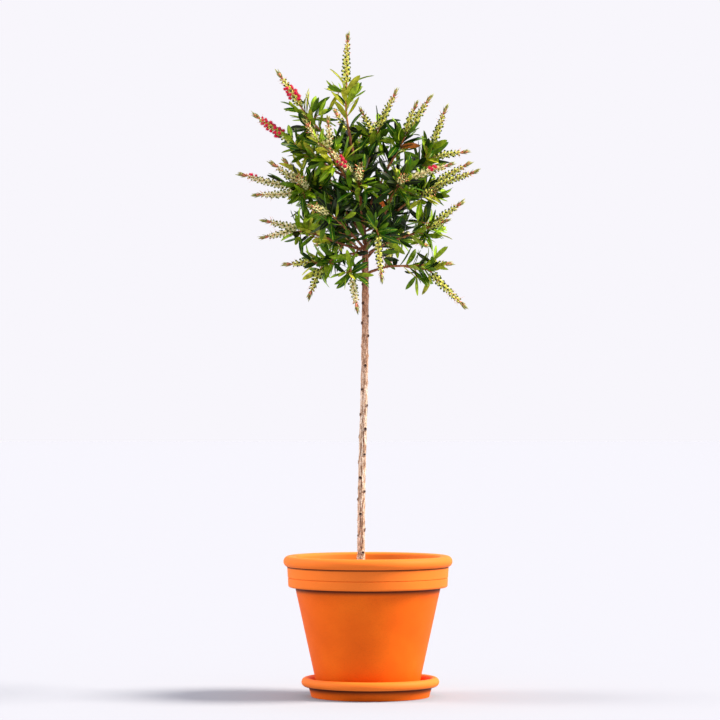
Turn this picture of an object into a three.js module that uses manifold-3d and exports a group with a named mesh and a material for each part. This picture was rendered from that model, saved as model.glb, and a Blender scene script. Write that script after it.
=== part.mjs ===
// A bottlebrush grown as a standard: one clean stem with an open head of leaves and flower shoots,
// planted in a clay pot that stands in its saucer.  Millimetres, +Z up.  The front faces -Y and
// the origin is the middle of the saucer's flat underside.
import * as THREE from "three";
import { mergeVertices } from "three/addons/utils/BufferGeometryUtils.js";
import Module from "manifold-3d";

const wasm = await Module();
wasm.setup();

// Driving dimensions ---------------------------------------------------------------------------
const GAP = 0.3; // clearance kept between two solids that touch
const ROUND_STEPS = 32; // facets round the pot and the saucer
const ROLL_STEPS = 5; // facets over a rolled edge
const FOOT_BEVEL = 2; // worn edge round the foot of the pot and the saucer

const SAUCER = {
  footRadius: 111,
  shoulderRadius: 115.5, // outside of the wall, under the roll
  shoulderHeight: 20,
  rollMiddleRadius: 120.4,
  rollMiddleHeight: 28,
  rollRadius: 8.6,
  floorRadius: 101, // flat inside floor, where the pot stands
  floorHeight: 8,
  floorEdge: [4, 3], // how far the floor curves out and up before the wall
};

const POT = {
  height: 263, // top of the roll above the ground
  footRadius: 93,
  floorThickness: 15,
  bodyTopRadius: 136,
  bodyTopHeight: 204,
  collarFootRadius: 149,
  collarFootHeight: 209,
  collarBevel: [3, 1], // underside of the collar: in, and up
  rollMiddleRadius: 147.5,
  rollRadius: 10.5,
  grooveHeight: 222,
  grooveOuterRadius: 149.8,
  grooveDepth: 1.2,
  grooveHalfWidth: 1,
  rimInnerRadius: 134,
  lipBevel: [3, 1], // inner edge of the roll: out, and down
  floorFillet: 6, // inside, where the wall meets the floor
};

const POT_ACROSS = -4.5; // the pot stands a little left of the middle of its saucer

// Surface of the compost: level round the stem and a little lower at the wall.
const SOIL = { height: 225, mound: 4, levelRadius: 70 };

const TRUNK = {
  footAcross: -13, // where the stem stands in the pot
  flareRadius: 10.5,
  flareHeight: 26,
  lowRadius: 7.2,
  forkRadius: 6.1,
  forkHeight: 845,
  sides: 10,
  rings: 16,
  crowding: 1.4, // above 1, the rings lie closer together towards the flare
};
// How far the stem has come across and back, at these shares of its height.
const TRUNK_LEAN = [
  [0, 0, 0],
  [0.3, 1, 2],
  [0.55, 5, 3],
  [0.8, 8, 1],
  [1, 8, 0],
];

const LEADER = { footRadius: 4.8, tipRadius: 2.4, topHeight: 1092, sides: 7, rings: 10 };
const LEADER_PATH = [
  [-5, 0, 838],
  [-10, 3, 895],
  [-25, 3, 1000],
  [-33, 2, 1042],
  [-41, 2, LEADER.topHeight],
];
const LIMB = { footRadius: 3.0, tipRadius: 1.6, sides: 6, ringSpacing: 24 };
const STUB = { foot: [-7, -3, 829], tip: [6, -14, 845], radius: 2.6 };

// One flower shoot is a slim spindle that ends in the pointed tuft of new leaves.
const SHOOT = {
  sides: 5,
  spikeRadius: 8,
  spikeLength: 92, // flowers, up to the foot of the tuft
  shortSpikeShare: 0.6, // of the reach, on a shoot too short for a full spike
  tuftLength: 26,
  tuftRadius: 5.5,
};
const POINT_STRETCH = 4; // a point moves this much further than the sides when a shoot is grown
const MASS = {
  around: 9,
  rings: 7,
  unevenness: 0.14,
  boughShare: 0.45, // of its half length, from the heart back to where the bough ends
};

// The head.  Each mass of leaves has its heart (across, back, up), half its length along its
// bough and half its girth.  Its bough leaves the trunk or the leader at a height, and the middle
// of the bough arches up by a lift.  Flower shoots fan out of the heart: each one has its turn
// from the right towards the back and its rise above level, in degrees, and its reach.
const MASSES = [
  { name: "top", heart: [-41, 2, 1120], length: 50, girth: 36,
    shoots: [[-27, 88, 125]] },
  { name: "upper_left", heart: [-114, 12, 1086], length: 52, girth: 34,
    bough: { from: "leader", height: 985, lift: -4 },
    shoots: [[168, 56, 108]] },
  { name: "front_upper_left", heart: [-72, -48, 1012], length: 50, girth: 34,
    bough: { from: "leader", height: 935, lift: -2 },
    shoots: [[-141, 45, 90], [-95, 71, 75]] },
  { name: "left_high", heart: [-118, 12, 1022], length: 50, girth: 24,
    bough: { from: "leader", height: 962, lift: -5 },
    shoots: [[175, 35, 126]] },
  { name: "left_middle", heart: [-108, -5, 946], length: 64, girth: 40,
    bough: { from: "leader", height: 878, lift: 6 },
    shoots: [[148, 45, 91], [-176, 35, 98], [176, 13, 144], [-162, -6, 117], [-111, 18, 83]] },
  { name: "left_low", heart: [-116, 0, 872], length: 54, girth: 31,
    bough: { from: "trunk", height: 834, lift: -4 },
    shoots: [[-171, 12, 90], [167, -9, 95]] },
  { name: "lower_left", heart: [-84, -2, 811], length: 38, girth: 28,
    bough: { from: "trunk", height: 822, lift: 12 },
    shoots: [[-176, -3, 81], [-133, -60, 84]] },
  { name: "hanging_left", heart: [-36, -34, 806], length: 32, girth: 19,
    bough: { from: "trunk", height: 833, lift: 16 },
    shoots: [[-10, -79, 95]] },
  { name: "front_low", heart: [16, -84, 888], length: 42, girth: 34,
    bough: { from: "trunk", height: 838, lift: -6 },
    shoots: [[-61, -80, 123]] },
  { name: "lower_right", heart: [106, 0, 806], length: 50, girth: 34,
    bough: { from: "trunk", height: 790, lift: 8 },
    shoots: [[-4, -46, 116], [25, 4, 64]] },
  { name: "right_low", heart: [110, -6, 874], length: 46, girth: 34,
    bough: { from: "trunk", height: 826, lift: 5 },
    shoots: [[-36, 17, 58], [16, 36, 95]] },
  { name: "right_middle", heart: [98, -10, 942], length: 52, girth: 36,
    bough: { from: "leader", height: 866, lift: -6 },
    shoots: [[-8, 20, 121], [18, 30, 121], [-65, -1, 75]] },
  { name: "front_right", heart: [56, -76, 955], length: 48, girth: 36,
    bough: { from: "trunk", height: 841, lift: -12 },
    shoots: [[-24, 17, 120], [-83, 4, 101]] },
  { name: "right_high", heart: [108, 36, 1008], length: 46, girth: 33,
    bough: { from: "leader", height: 915, lift: -4 },
    shoots: [[8, 10, 90], [-15, 67, 112]] },
  { name: "upper_right", heart: [64, -14, 1038], length: 42, girth: 30,
    bough: { from: "leader", height: 890, lift: 4 },
    shoots: [[-6, 57, 105], [-50, 59, 87]] },
  { name: "upper_middle", heart: [14, 26, 1046], length: 42, girth: 29,
    bough: { from: "leader", height: 940, lift: 4 },
    shoots: [[6, 66, 106], [-122, 44, 80]] },
  { name: "front_middle", heart: [-18, -78, 958], length: 48, girth: 38,
    bough: { from: "leader", height: 852, lift: -8 },
    shoots: [[-146, 42, 100], [-87, 15, 107]] },
  { name: "front_left", heart: [-66, -74, 896], length: 44, girth: 36,
    bough: { from: "trunk", height: 836, lift: 2 },
    shoots: [[-118, 9, 99]] },
  { name: "back_high", heart: [-22, 84, 1030], length: 52, girth: 40,
    bough: { from: "leader", height: 905, lift: 4 },
    shoots: [[128, 49, 109], [48, 41, 103]] },
  { name: "back_left", heart: [-78, 90, 948], length: 52, girth: 42,
    bough: { from: "leader", height: 860, lift: 4 },
    shoots: [[136, 22, 108], [95, 8, 122]] },
  { name: "back_right", heart: [62, 94, 960], length: 54, girth: 42,
    bough: { from: "leader", height: 872, lift: 4 },
    shoots: [[49, 22, 108], [97, 12, 123]] },
  { name: "back_low_left", heart: [-52, 84, 866], length: 46, girth: 36,
    bough: { from: "trunk", height: 824, lift: 4 },
    shoots: [[119, -9, 107]] },
  { name: "back_low_right", heart: [54, 80, 874], length: 44, girth: 33,
    bough: { from: "trunk", height: 816, lift: 4 },
    shoots: [[53, -14, 110], [103, -38, 112]] },
];

// Materials ------------------------------------------------------------------------------------
const terracotta = new THREE.MeshStandardMaterial({ color: "#e0762f", roughness: 0.85, metalness: 0 });
const compost = new THREE.MeshStandardMaterial({ color: "#3a2a20", roughness: 1, metalness: 0 });
const trunkBark = new THREE.MeshStandardMaterial({ color: "#a98872", roughness: 0.9, metalness: 0 });
const limbBark = new THREE.MeshStandardMaterial({ color: "#8a4a34", roughness: 0.8, metalness: 0 });
const foliage = new THREE.MeshStandardMaterial({ color: "#4f7d2c", roughness: 0.6, metalness: 0 });

// Solids and meshes ----------------------------------------------------------------------------
/** A closed geometry, with only its positions and its shared corners merged, as a solid. */
function solidFrom(geometry) {
  const plain = new THREE.BufferGeometry();
  plain.setAttribute("position", geometry.attributes.position.clone());
  plain.setIndex(geometry.index);
  const merged = mergeVertices(plain, 1e-3);
  const corners = [...merged.index.array];
  const faces = [];
  for (let i = 0; i < corners.length; i += 3) {
    const [a, b, c] = corners.slice(i, i + 3);
    if (a !== b && b !== c && a !== c) faces.push(a, b, c);
  }
  return new wasm.Manifold(
    new wasm.Mesh({
      numProp: 3,
      vertProperties: new Float32Array(merged.attributes.position.array),
      triVerts: new Uint32Array(faces),
    }),
  );
}

/** The largest separate piece of a solid, so that a cut leaves no crumbs. */
function mainPiece(solid) {
  const pieces = solid.decompose();
  return pieces.reduce((best, piece) => (piece.volume() > best.volume() ? piece : best));
}

/** A named mesh of a solid. */
function meshOf(name, solid, material) {
  const cut = solid.getMesh();
  const geometry = new THREE.BufferGeometry();
  const places = new Float32Array(cut.numVert * 3);
  for (let i = 0; i < cut.numVert; i += 1) {
    places.set(cut.vertProperties.subarray(i * cut.numProp, i * cut.numProp + 3), i * 3);
  }
  geometry.setAttribute("position", new THREE.BufferAttribute(places, 3));
  geometry.setIndex([...cut.triVerts]);
  geometry.computeVertexNormals();
  const mesh = new THREE.Mesh(geometry, material);
  mesh.name = name;
  return mesh;
}

// Pot, saucer and compost ----------------------------------------------------------------------
/** Turns a profile of [radius, height] points, listed from the underside out and up, about +Z. */
function turned(profile) {
  const points = profile.map(([radius, height]) => new THREE.Vector2(radius, height));
  const lathe = new THREE.LatheGeometry(points, ROUND_STEPS);
  lathe.rotateX(Math.PI / 2);
  return lathe;
}

/** Points over a rolled edge, from its lower outside over the top to its inside. */
function roll(middleRadius, middleHeight, radius, fromDegrees, toDegrees) {
  const points = [];
  for (let step = 0; step <= ROLL_STEPS; step += 1) {
    const angle = THREE.MathUtils.degToRad(fromDegrees + ((toDegrees - fromDegrees) * step) / ROLL_STEPS);
    points.push([middleRadius + radius * Math.cos(angle), middleHeight + radius * Math.sin(angle)]);
  }
  return points;
}

function saucer() {
  const [edgeOut, edgeUp] = SAUCER.floorEdge;
  const profile = [
    [0, 0],
    [SAUCER.footRadius - FOOT_BEVEL, 0],
    [SAUCER.footRadius, FOOT_BEVEL],
    [SAUCER.shoulderRadius, SAUCER.shoulderHeight],
    ...roll(SAUCER.rollMiddleRadius, SAUCER.rollMiddleHeight, SAUCER.rollRadius, -105, 190),
    [SAUCER.floorRadius + edgeOut, SAUCER.floorHeight + edgeUp],
    [SAUCER.floorRadius, SAUCER.floorHeight],
    [0, SAUCER.floorHeight],
  ];
  return solidFrom(turned(profile));
}

const potFoot = SAUCER.floorHeight + GAP;
const potFloor = potFoot + POT.floorThickness;
const potTaper = (POT.bodyTopRadius - POT.footRadius) / (POT.bodyTopHeight - potFoot);
const rimHeight = POT.height - POT.rollRadius / 2; // where the roll runs into the inside wall

/** Radius of the inside wall of the pot at a height. */
function insideRadius(height) {
  return POT.rimInnerRadius - (rimHeight - height) * potTaper;
}

/** Corners of the inside, from the wall's foot to the floor's edge, drawn in by a clearance. */
function insideFoot(clearance) {
  return [
    [insideRadius(potFloor + POT.floorFillet) - clearance, potFloor + POT.floorFillet + clearance],
    [insideRadius(potFloor) - POT.floorFillet - clearance, potFloor + clearance],
  ];
}

function pot() {
  const [bevelIn, bevelUp] = POT.collarBevel;
  const [lipOut, lipDown] = POT.lipBevel;
  const profile = [
    [0, potFoot],
    [POT.footRadius - FOOT_BEVEL, potFoot],
    [POT.footRadius, potFoot + FOOT_BEVEL],
    [POT.bodyTopRadius, POT.bodyTopHeight],
    [POT.collarFootRadius - bevelIn, POT.bodyTopHeight + bevelUp],
    [POT.collarFootRadius, POT.collarFootHeight],
    [POT.grooveOuterRadius, POT.grooveHeight - POT.grooveHalfWidth],
    [POT.grooveOuterRadius - POT.grooveDepth, POT.grooveHeight],
    [POT.grooveOuterRadius, POT.grooveHeight + POT.grooveHalfWidth],
    ...roll(POT.rollMiddleRadius, POT.height - POT.rollRadius, POT.rollRadius, -62, 90),
    [POT.rimInnerRadius + lipOut, POT.height - lipDown],
    [POT.rimInnerRadius, rimHeight],
    ...insideFoot(0),
    [0, potFloor],
  ];
  return solidFrom(turned(profile));
}

function soil() {
  const wallHeight = SOIL.height - SOIL.mound;
  const profile = [
    [0, potFloor + GAP],
    ...insideFoot(GAP).reverse(),
    [insideRadius(wallHeight) - GAP, wallHeight],
    [SOIL.levelRadius, SOIL.height],
    [0, SOIL.height],
  ];
  return solidFrom(turned(profile));
}

// Stem and boughs ------------------------------------------------------------------------------
/** A unit cylinder bent along a curve; radiusAt gives its girth at a share of the length. */
function taperedLimb(curve, radiusAt, sides, rings) {
  const tube = new THREE.CylinderGeometry(1, 1, 1, sides, rings);
  const places = tube.attributes.position;
  const frames = curve.computeFrenetFrames(rings);
  for (let i = 0; i < places.count; i += 1) {
    const share = places.getY(i) + 0.5;
    const ring = Math.round(share * rings);
    const side = frames.normals[ring].clone();
    const across = side.clone().cross(frames.tangents[ring]);
    const point = curve.getPointAt(share);
    point.addScaledVector(side, places.getX(i) * radiusAt(share));
    point.addScaledVector(across, places.getZ(i) * radiusAt(share));
    places.setXYZ(i, point.x, point.y, point.z);
  }
  return tube;
}

/** The stem: level rings from a flat cut on the compost, through the flare, up to the fork. */
function trunk(extra) {
  const lean = new THREE.CatmullRomCurve3(
    TRUNK_LEAN.map(([share, across, back]) => new THREE.Vector3(across, back, share)),
  );
  const foot = SOIL.height + GAP;
  const rise = TRUNK.forkHeight - foot;
  const tube = new THREE.CylinderGeometry(1, 1, 1, TRUNK.sides, TRUNK.rings);
  tube.rotateX(Math.PI / 2);
  const places = tube.attributes.position;
  for (let i = 0; i < places.count; i += 1) {
    const share = (places.getZ(i) + 0.5) ** TRUNK.crowding;
    const axis = lean.getPoint(share);
    const swell = Math.max(0, 1 - (share * rise) / TRUNK.flareHeight) ** 2;
    const taper = THREE.MathUtils.lerp(TRUNK.lowRadius, TRUNK.forkRadius, share);
    const radius = taper + (TRUNK.flareRadius - TRUNK.lowRadius) * swell + extra;
    const x = TRUNK.footAcross + axis.x + places.getX(i) * radius;
    const y = axis.y + places.getY(i) * radius;
    places.setXYZ(i, x, y, foot + share * rise);
  }
  return solidFrom(tube);
}

const vector = (list) => new THREE.Vector3(...list);
const leaderCurve = new THREE.CatmullRomCurve3(LEADER_PATH.map(vector));

function leader(extra) {
  const girth = (share) => THREE.MathUtils.lerp(LEADER.footRadius, LEADER.tipRadius, share) + extra;
  return solidFrom(taperedLimb(leaderCurve, girth, LEADER.sides, LEADER.rings));
}

/** The point on the axis of the trunk or the leader at a height. */
function axisPoint(parent, height) {
  if (parent === "trunk") {
    const near = TRUNK_LEAN.at(-1);
    return new THREE.Vector3(TRUNK.footAcross + near[1], near[2], height);
  }
  const spacedPoints = leaderCurve.getSpacedPoints(60);
  return spacedPoints.reduce((best, point) =>
    Math.abs(point.z - height) < Math.abs(best.z - height) ? point : best,
  );
}

/** The curve of a mass's bough, from its parent's axis to just inside the mass. */
function boughCurve(mass) {
  const start = axisPoint(mass.bough.from, mass.bough.height);
  const heart = vector(mass.heart);
  const back = start.clone().sub(heart).setLength(mass.length * MASS.boughShare);
  const end = heart.clone().add(back);
  const middle = start.clone().lerp(end, 0.5);
  middle.z += mass.bough.lift;
  return new THREE.CatmullRomCurve3([start, middle, end]);
}

function bough(mass, extra) {
  const curve = boughCurve(mass);
  const girth = (share) => THREE.MathUtils.lerp(LIMB.footRadius, LIMB.tipRadius, share) + extra;
  const rings = Math.max(3, Math.round(curve.getLength() / LIMB.ringSpacing));
  return solidFrom(taperedLimb(curve, girth, LIMB.sides, rings));
}

function stub(extra) {
  const curve = new THREE.LineCurve3(vector(STUB.foot), vector(STUB.tip));
  return solidFrom(taperedLimb(curve, () => STUB.radius + extra, LIMB.sides, 1));
}

// Masses of leaves -----------------------------------------------------------------------------
/** The way a mass runs: out along its bough, or straight up round the leader. */
function growthOf(mass) {
  if (!mass.bough) return new THREE.Vector3(0, 0, 1);
  const start = axisPoint(mass.bough.from, mass.bough.height);
  return vector(mass.heart).sub(start).normalize();
}

/** Swell and hollow of a mass on one side of it; each index gives another arrangement. */
function lobesOf(side, index) {
  const wide = Math.sin(3.1 * side.x + 1.9 * index) * Math.cos(2.7 * side.y - index);
  const narrow = Math.sin(5.3 * side.z + 2 * side.x + 2.3 * index);
  return wide + 0.6 * narrow;
}

/** An uneven ball of leaves, drawn out along the growth of its bough. */
function leafBall(mass, index, extra) {
  const ball = new THREE.SphereGeometry(1, MASS.around, MASS.rings);
  ball.rotateX(Math.PI / 2);
  const places = ball.attributes.position;
  const turn = new THREE.Quaternion().setFromUnitVectors(new THREE.Vector3(0, 0, 1), growthOf(mass));
  const point = new THREE.Vector3();
  for (let i = 0; i < places.count; i += 1) {
    point.fromBufferAttribute(places, i).normalize();
    const swell = 1 + MASS.unevenness * lobesOf(point, index);
    point.set(point.x * mass.girth * swell, point.y * mass.girth * swell, point.z * mass.length * swell);
    point.setLength(point.length() + extra);
    point.applyQuaternion(turn).add(vector(mass.heart));
    places.setXYZ(i, point.x, point.y, point.z);
  }
  return solidFrom(ball);
}

/** One flower shoot, from the heart of its mass to the point of its tuft. */
function flowerShoot(mass, [turn, rise, reach], extra) {
  const flowers = reach - SHOOT.tuftLength;
  const spikeFoot = Math.max(flowers - SHOOT.spikeLength, flowers * (1 - SHOOT.shortSpikeShare));
  const profile = [
    [0, -extra * POINT_STRETCH],
    [SHOOT.spikeRadius + extra, spikeFoot],
    [SHOOT.tuftRadius + extra, flowers],
    [0, reach + extra * POINT_STRETCH],
  ];
  const lathe = new THREE.LatheGeometry(
    profile.map(([radius, height]) => new THREE.Vector2(radius, height)),
    SHOOT.sides,
  );
  const level = Math.cos(THREE.MathUtils.degToRad(rise));
  const heading = new THREE.Vector3(
    level * Math.cos(THREE.MathUtils.degToRad(turn)),
    level * Math.sin(THREE.MathUtils.degToRad(turn)),
    Math.sin(THREE.MathUtils.degToRad(rise)),
  );
  lathe.applyQuaternion(new THREE.Quaternion().setFromUnitVectors(new THREE.Vector3(0, 1, 0), heading));
  lathe.translate(...mass.heart);
  return solidFrom(lathe);
}

function leafMass(mass, index, extra) {
  let solid = leafBall(mass, index, extra);
  for (const shoot of mass.shoots) solid = solid.add(flowerShoot(mass, shoot, extra));
  return solid;
}

// The plant put together -----------------------------------------------------------------------
const plant = new THREE.Group();
plant.add(meshOf("saucer", saucer(), terracotta));

// The pot and all that grows in it, about the pot's own axis.
const potted = new THREE.Group();
potted.position.x = POT_ACROSS;
plant.add(potted);
potted.add(meshOf("pot", pot(), terracotta));
potted.add(meshOf("soil", soil(), compost));
potted.add(meshOf("trunk", trunk(0), trunkBark));

// Leaves, each mass cut round the ones before it.
let leaves = null;
const massSolids = MASSES.map((mass, index) => {
  const whole = leafMass(mass, index, 0);
  const solid = leaves ? mainPiece(whole.subtract(leaves)) : whole;
  const grown = leafMass(mass, index, GAP);
  leaves = leaves ? leaves.add(grown) : grown;
  return solid;
});

// Wood, each limb cut back to the one that bears it and ending where it meets its leaves.
let wood = trunk(GAP);
potted.add(meshOf("leader", mainPiece(leader(0).subtract(wood).subtract(leaves)), limbBark));
wood = wood.add(leader(GAP));
for (const mass of MASSES.filter((each) => each.bough)) {
  const limb = mainPiece(bough(mass, 0).subtract(wood).subtract(leaves));
  potted.add(meshOf(`bough_${mass.name}`, limb, limbBark));
  wood = wood.add(bough(mass, GAP));
}
potted.add(meshOf("pruned_stub", mainPiece(stub(0).subtract(wood)), limbBark));
MASSES.forEach((mass, index) => {
  potted.add(meshOf(`foliage_${mass.name}`, massSolids[index], foliage));
});

export default plant;
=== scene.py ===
# A young bottlebrush grown as a standard: a slim bare stem with an open head of leaves and flower
# spikes, potted in a clay pot that stands in its saucer.  Metres, +Z up, the front faces -Y.
import random
from math import atan2, copysign, cos, exp, pi, radians, sin, sqrt

import bmesh
import bpy
import numpy as np
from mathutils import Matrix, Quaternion, Vector, noise
from mathutils.bvhtree import BVHTree
from mathutils.kdtree import KDTree


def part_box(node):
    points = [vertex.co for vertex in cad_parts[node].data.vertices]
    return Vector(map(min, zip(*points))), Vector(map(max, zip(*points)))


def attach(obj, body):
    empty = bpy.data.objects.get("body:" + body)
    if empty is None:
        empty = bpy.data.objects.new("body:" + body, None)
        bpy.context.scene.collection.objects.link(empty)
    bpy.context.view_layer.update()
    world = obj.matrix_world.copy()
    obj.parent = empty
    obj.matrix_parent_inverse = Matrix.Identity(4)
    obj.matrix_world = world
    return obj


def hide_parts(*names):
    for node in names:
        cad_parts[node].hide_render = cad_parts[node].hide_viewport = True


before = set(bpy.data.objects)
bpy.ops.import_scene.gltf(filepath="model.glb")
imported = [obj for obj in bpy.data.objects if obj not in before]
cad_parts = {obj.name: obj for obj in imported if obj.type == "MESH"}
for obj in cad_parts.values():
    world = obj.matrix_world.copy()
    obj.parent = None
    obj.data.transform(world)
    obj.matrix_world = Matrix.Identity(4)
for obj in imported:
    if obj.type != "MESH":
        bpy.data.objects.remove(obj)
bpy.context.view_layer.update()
MM = 0.001


# ---- Saucer ----
# The saucer is plain terracotta: red clay pressed on a turning mould and fired unglazed.
# Its edge is rolled over outwards so that it can be lifted, and its foot is flat.
CLAY_STEPS = 128  # facets round the pot and the saucer


def deselect():
    bpy.ops.object.select_all(action="DESELECT")


def edit_all():
    """Goes into edit mode with the whole mesh selected."""
    bpy.ops.object.mode_set(mode="EDIT")
    bpy.ops.mesh.select_all(action="SELECT")


def leave_edit():
    bpy.ops.object.mode_set(mode="OBJECT")


def start_piece(name, add_primitive, up=0, **sizes):
    """A new primitive at a height on the axis, with its own name, and nothing else selected."""
    deselect()
    add_primitive(location=(0, 0, up), **sizes)
    piece = bpy.context.object
    piece.name = name
    return piece


def turned(name, rings, steps=CLAY_STEPS):
    """A round body drawn up through (radius, height) rings by extruding and resizing a circle."""
    radius, height = rings[0]
    piece = start_piece(name, bpy.ops.mesh.primitive_circle_add, height, vertices=steps, radius=radius)
    edit_all()
    for next_radius, next_height in rings[1:]:
        bpy.ops.mesh.extrude_region_move(TRANSFORM_OT_translate={"value": (0, 0, next_height - height)})
        share = next_radius / radius
        bpy.ops.transform.resize(value=(share, share, 1), center_override=(0, 0, next_height))
        radius, height = next_radius, next_height
    bpy.ops.mesh.edge_face_add()
    bpy.ops.mesh.select_all(action="SELECT")
    bpy.ops.mesh.region_to_loop()
    bpy.ops.mesh.edge_face_add()
    bpy.ops.mesh.select_all(action="SELECT")
    bpy.ops.mesh.normals_make_consistent(inside=False)
    leave_edit()
    bpy.ops.object.transform_apply(location=True, rotation=True, scale=True)
    bpy.ops.object.shade_smooth_by_angle(angle=radians(40))
    return piece


def arc(middle, radius, start, end, steps):
    """Rings over a round edge; angles in degrees, 0 outwards and 90 up."""
    angles = [radians(start + (end - start) * i / steps) for i in range(steps + 1)]
    return [(middle[0] + radius * cos(a), middle[1] + radius * sin(a)) for a in angles]


def linear(colour):
    """An sRGB hex colour as the linear values that a shader takes."""
    parts = [int(colour[i : i + 2], 16) / 255 for i in (1, 3, 5)]
    return tuple(c / 12.92 if c <= 0.04045 else ((c + 0.055) / 1.055) ** 2.4 for c in parts) + (1.0,)


def node(tree, kind, settings=(), inputs=(), links=(), stops=()):
    """Adds a node, or takes one that is there, with its settings, input values and links.

    A link comes from a socket, or from a node's first output.  Stops are the (place, hex colour)
    pairs of a colour ramp.
    """
    added = tree.nodes.new("ShaderNode" + kind) if isinstance(kind, str) else kind
    for key, value in dict(settings).items():
        setattr(added, key, value)
    for key, value in dict(inputs).items():
        added.inputs[key].default_value = value
    for key, source in dict(links).items():
        tree.links.new(source.outputs[0] if hasattr(source, "outputs") else source, added.inputs[key])
    if stops:
        while len(added.color_ramp.elements) < len(stops):
            added.color_ramp.elements.new(0.5)
        for element, (place, colour) in zip(added.color_ramp.elements, stops):
            element.position = place
            element.color = linear(colour)
    return added


def material(name):
    """A new material, its tree, its Principled shader, and the place on the piece in metres."""
    made = bpy.data.materials.new(name)
    made.use_nodes = True
    tree = made.node_tree
    return made, tree, tree.nodes["Principled BSDF"], node(tree, "TexCoord").outputs["Object"]


MIX_A, MIX_B, MIX_RESULT = 6, 7, 2  # the colour sockets of a Mix node, whose names repeat
COVER = {"data_type": "RGBA"}
TINT = {"data_type": "RGBA", "blend_type": "MULTIPLY"}


def terracotta(name, pale_top_height, ledges, across=0):
    """Fired red clay, unglazed: matte, warm orange, a little cloudy in tone and finely gritty.

    Above a given height, on a roll or a collar, it is paler: partly a bloom of salts that drying
    leaves, partly a painted highlight from the light above.
    Painted shade darkens the clay under each overhanging ledge, given as (height, depth of the shade,
    reach).  It lies only on the outer face, beyond that reach from the axis, which is at x = across.
    """
    made, tree, shader, place = material(name)
    clouds = node(
        tree, "TexNoise", inputs={"Scale": 1 / (90 * MM), "Detail": 3, "Roughness": 0.5},
        links={"Vector": place},
    )
    tone = node(
        tree, "ValToRGB", links={"Fac": clouds}, stops=[(0.3, "#dc5c02"), (0.5, "#e46204"), (0.7, "#ea6a08")]
    )
    # Real grit is finer than this; it is drawn at 1.6 mm so that it shows.
    grit = node(tree, "TexNoise", inputs={"Scale": 1 / (1.6 * MM), "Detail": 2}, links={"Vector": place})
    specks = node(
        tree, "ValToRGB", links={"Fac": grit}, stops=[(0.3, "#d8d0c8"), (0.5, "#ffffff"), (0.75, "#fff6ee")]
    )
    colour = node(tree, "Mix", TINT, {"Factor": 0.4}, {MIX_A: tone, MIX_B: specks}).outputs[MIX_RESULT]
    height = node(tree, "SeparateXYZ", links={"Vector": place}).outputs["Z"]
    # Paler above the given height: a bloom of salts and a painted highlight from the light above.
    salt_bloom_and_highlight = node(
        tree, "MapRange",
        inputs={"From Min": pale_top_height - 2 * MM, "From Max": pale_top_height + 2 * MM, "To Max": 0.36},
        links={"Value": height},
    )
    colour = node(
        tree, "Mix", COVER, {MIX_B: linear("#f8923e")}, {"Factor": salt_bloom_and_highlight, MIX_A: colour}
    ).outputs[MIX_RESULT]
    level = node(tree, "VectorMath", {"operation": "MULTIPLY"}, {1: (1, 1, 0)}, {0: place})
    reach = node(tree, "VectorMath", {"operation": "DISTANCE"}, {1: (across, 0, 0)}, {0: level})
    # Painted shade: a dark band under each ledge, where the overhang shades the wall below it.
    for top, depth, inner_reach in ledges:
        painted_shade = node(
            tree, "MapRange", {"interpolation_type": "SMOOTHSTEP"},
            {"From Min": top - depth, "From Max": top, "To Max": 0.97}, {"Value": height},
        )
        for side, limit, measure in (
            ("GREATER_THAN", inner_reach, reach.outputs["Value"]),
            ("LESS_THAN", top + 0.4 * MM, height),
        ):
            inside = node(tree, "Math", {"operation": side}, {1: limit}, {0: measure})
            painted_shade = node(tree, "Math", {"operation": "MULTIPLY"}, links={0: painted_shade, 1: inside})
        colour = node(
            tree, "Mix", COVER, {MIX_B: linear("#2a0a02")}, {"Factor": painted_shade, MIX_A: colour}
        ).outputs[MIX_RESULT]
    # Turning lines: faint rings that the mould leaves, about 3 mm apart.
    stretched = node(tree, "CombineXYZ", links={"Z": height})
    lines = node(tree, "TexNoise", inputs={"Scale": 1 / (3 * MM), "Detail": 2}, links={"Vector": stretched})
    line_bump = node(tree, "Bump", inputs={"Strength": 0.25, "Distance": 0.25 * MM}, links={"Height": lines})
    grit_bump = node(
        tree, "Bump", inputs={"Strength": 0.3, "Distance": 0.2 * MM},
        links={"Height": grit, "Normal": line_bump},
    )
    node(
        tree, shader, inputs={"Roughness": 0.62, "IOR": 1.5, "Specular IOR Level": 0.15},
        links={"Base Color": colour, "Normal": grit_bump},
    )
    return made


low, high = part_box("saucer")
saucer_radius = high.x
roll = 8.6 * MM
roll_middle = (saucer_radius - roll, high.z - roll)
roll_foot = roll_middle[1] - roll
saucer_floor = 8 * MM
saucer_corner = 5 * MM
foot = saucer_radius - 18 * MM
foot_edge = 1.6 * MM
disc = 20 * MM  # the flat middle, above and below
saucer = turned(
    "clay_saucer",
    [(disc, 0), (foot - 3 * MM, 0)]
    + arc((foot - foot_edge, foot_edge), foot_edge, -90, 0, 4)
    + [(foot + 1.6 * MM, 8 * MM), (foot + 3.6 * MM, 15 * MM)]
    + arc(roll_middle, roll, -118, 196, 22)
    + [(foot - 3.5 * MM, 16 * MM)]
    + arc((foot - 11 * MM, saucer_floor + saucer_corner), saucer_corner, 0, -90, 5)
    + [(disc, saucer_floor)],
)
# The painted shade under the saucer's roll: (height, depth, reach).
under_roll = (20 * MM, 12 * MM, foot - 1 * MM)
saucer.data.materials.append(terracotta("terracotta_fired_saucer", roll_foot, [under_roll]))
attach(saucer, "root")
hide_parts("saucer")


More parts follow.
